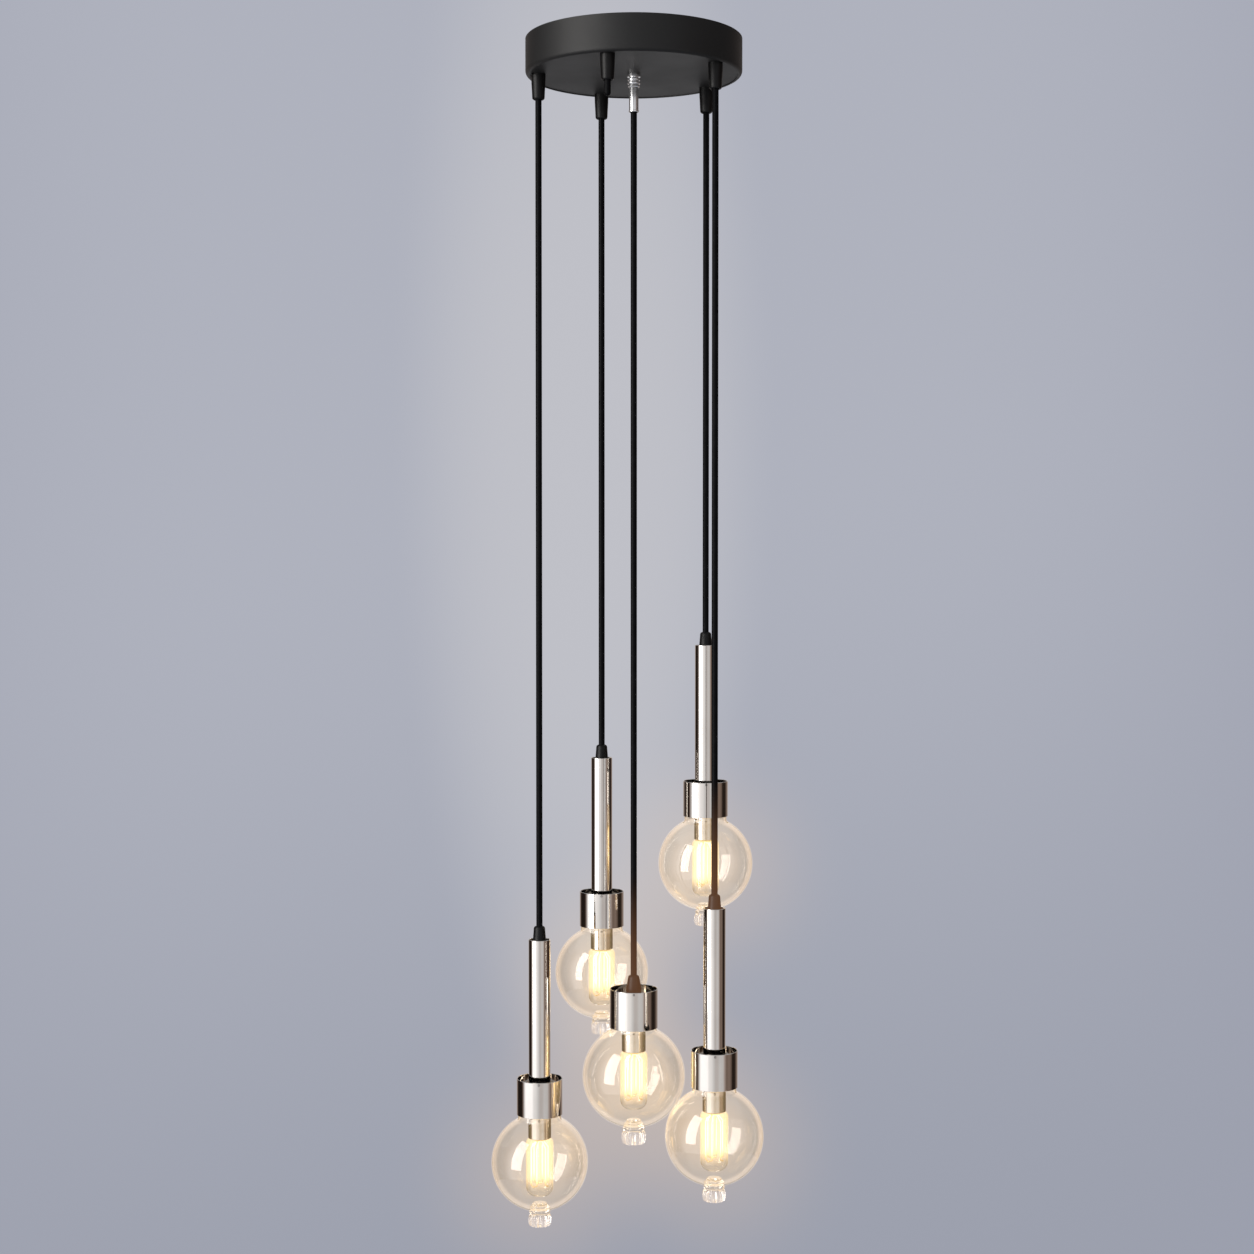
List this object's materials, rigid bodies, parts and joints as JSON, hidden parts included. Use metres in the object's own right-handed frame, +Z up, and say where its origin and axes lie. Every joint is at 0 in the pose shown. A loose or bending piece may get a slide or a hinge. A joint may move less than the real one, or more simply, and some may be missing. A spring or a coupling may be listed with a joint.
{
  "type": "cluster pendant light",
  "caption": "Cluster pendant: round black ceiling canopy, cords at staggered heights, polished nickel tubes and cups, clear glass globes with knobs over tubular filament lamps.",
  "frame": {"origin": "middle of the canopy's rim, in the plane of the ceiling", "axes": "+Z up to the ceiling, -Y towards the viewer of the picture, +X to the viewer's right"},
  "size_m": [0.2715, 0.2457, 1.1904],
  "materials": {
    "canopy_black": "fine textured powder coat",
    "zinc_steel": "zinc plated",
    "screw_steel": "blackened",
    "terminal_plastic": "moulded",
    "grip_black": "satin moulded nylon",
    "polished_nickel": "polished nickel",
    "cord_black": "satin PVC",
    "holder_black": "phenolic",
    "globe_glass": "clear blown",
    "lamp_glass": "clear",
    "cap_brass": "nickelled screw shell",
    "filament_glow": "glowing strands"
  },
  "bodies": {
    "ceiling_canopy": {"canopy": "canopy_black", "ceiling_bracket": "zinc_steel", "side_screws": "screw_steel", "terminal_block": "terminal_plastic", "cord_grips": "grip_black", "centre_grip": "polished_nickel", "grip_nuts": "zinc_steel", "inner_leads": "cord_black", "blanking_plug": "grip_black"},
    "pendant_1": {"cord_1": "cord_black", "entry_grip_1": "grip_black", "tube_1": "polished_nickel", "cup_1": "polished_nickel", "sleeve_1": "polished_nickel", "lampholder_1": "holder_black"},
    "globe_1": {"globe_1": "globe_glass"},
    "lamp_1": {"lamp_cap_1": "cap_brass", "lamp_glass_1": "lamp_glass", "lamp_filament_1": "filament_glow"},
    "pendant_2": {"cord_2": "cord_black", "entry_grip_2": "grip_black", "tube_2": "polished_nickel", "cup_2": "polished_nickel", "sleeve_2": "polished_nickel", "lampholder_2": "holder_black"},
    "globe_2": {"globe_2": "globe_glass"},
    "lamp_2": {"lamp_cap_2": "cap_brass", "lamp_glass_2": "lamp_glass", "lamp_filament_2": "filament_glow"},
    "pendant_3": {"cord_3": "cord_black", "entry_grip_3": "grip_black", "cup_3": "polished_nickel", "sleeve_3": "polished_nickel", "lampholder_3": "holder_black"},
    "globe_3": {"globe_3": "globe_glass"},
    "lamp_3": {"lamp_cap_3": "cap_brass", "lamp_glass_3": "lamp_glass", "lamp_filament_3": "filament_glow"},
    "pendant_4": {"cord_4": "cord_black", "entry_grip_4": "grip_black", "tube_4": "polished_nickel", "cup_4": "polished_nickel", "sleeve_4": "polished_nickel", "lampholder_4": "holder_black"},
    "globe_4": {"globe_4": "globe_glass"},
    "lamp_4": {"lamp_cap_4": "cap_brass", "lamp_glass_4": "lamp_glass", "lamp_filament_4": "filament_glow"},
    "pendant_5": {"cord_5": "cord_black", "entry_grip_5": "grip_black", "tube_5": "polished_nickel", "cup_5": "polished_nickel", "sleeve_5": "polished_nickel", "lampholder_5": "holder_black"},
    "globe_5": {"globe_5": "globe_glass"},
    "lamp_5": {"lamp_cap_5": "cap_brass", "lamp_glass_5": "lamp_glass", "lamp_filament_5": "filament_glow"}
  },
  "joints": [
    {"name": "swing_1", "type": "hinge", "parent": "ceiling_canopy", "child": "pendant_1", "pos_m": [-0.09491, -0.00414, -0.0573], "axis": [-0.0436, 0.999, 0], "range_deg": [0, 10]},
    {"name": "globe_off_1", "type": "slide", "parent": "pendant_1", "child": "globe_1", "axis": [0, 0, -1], "range_m": [0, 0.015]},
    {"name": "lamp_unscrew_1", "type": "hinge", "parent": "pendant_1", "child": "lamp_1", "pos_m": [-0.09491, -0.00414, -1.11], "axis": [0, 0, -1], "range_deg": [0, 1080]},
    {"name": "swing_2", "type": "hinge", "parent": "ceiling_canopy", "child": "pendant_2", "pos_m": [-0.03327, 0.08898, -0.0573], "axis": [0.9367, 0.3502, 0], "range_deg": [0, 10]},
    {"name": "globe_off_2", "type": "slide", "parent": "pendant_2", "child": "globe_2", "axis": [0, 0, -1], "range_m": [0, 0.015]},
    {"name": "lamp_unscrew_2", "type": "hinge", "parent": "pendant_2", "child": "lamp_2", "pos_m": [-0.03327, 0.08898, -0.935], "axis": [0, 0, -1], "range_deg": [0, 1080]},
    {"name": "swing_3", "type": "hinge", "parent": "ceiling_canopy", "child": "pendant_3", "pos_m": [0, 0, -0.0688], "axis": [-0.9636, 0.2672, 0], "range_deg": [0, 10]},
    {"name": "globe_off_3", "type": "slide", "parent": "pendant_3", "child": "globe_3", "axis": [0, 0, -1], "range_m": [0, 0.01]},
    {"name": "lamp_unscrew_3", "type": "hinge", "parent": "pendant_3", "child": "lamp_3", "pos_m": [0, 0, -1.02], "axis": [0, 0, -1], "range_deg": [0, 1080]},
    {"name": "swing_4", "type": "hinge", "parent": "ceiling_canopy", "child": "pendant_4", "pos_m": [0.07435, 0.05914, -0.0573], "axis": [0.6225, -0.7826, 0], "range_deg": [0, 10]},
    {"name": "globe_off_4", "type": "slide", "parent": "pendant_4", "child": "globe_4", "axis": [0, 0, -1], "range_m": [0, 0.015]},
    {"name": "lamp_unscrew_4", "type": "hinge", "parent": "pendant_4", "child": "lamp_4", "pos_m": [0.07435, 0.05914, -0.816], "axis": [0, 0, -1], "range_deg": [0, 1080]},
    {"name": "swing_5", "type": "hinge", "parent": "ceiling_canopy", "child": "pendant_5", "pos_m": [0.07922, -0.05243, -0.0573], "axis": [-0.5519, -0.8339, 0], "range_deg": [0, 10]},
    {"name": "globe_off_5", "type": "slide", "parent": "pendant_5", "child": "globe_5", "axis": [0, 0, -1], "range_m": [0, 0.015]},
    {"name": "lamp_unscrew_5", "type": "hinge", "parent": "pendant_5", "child": "lamp_5", "pos_m": [0.07922, -0.05243, -1.07055], "axis": [0, 0, -1], "range_deg": [0, 1080]}
  ]
}
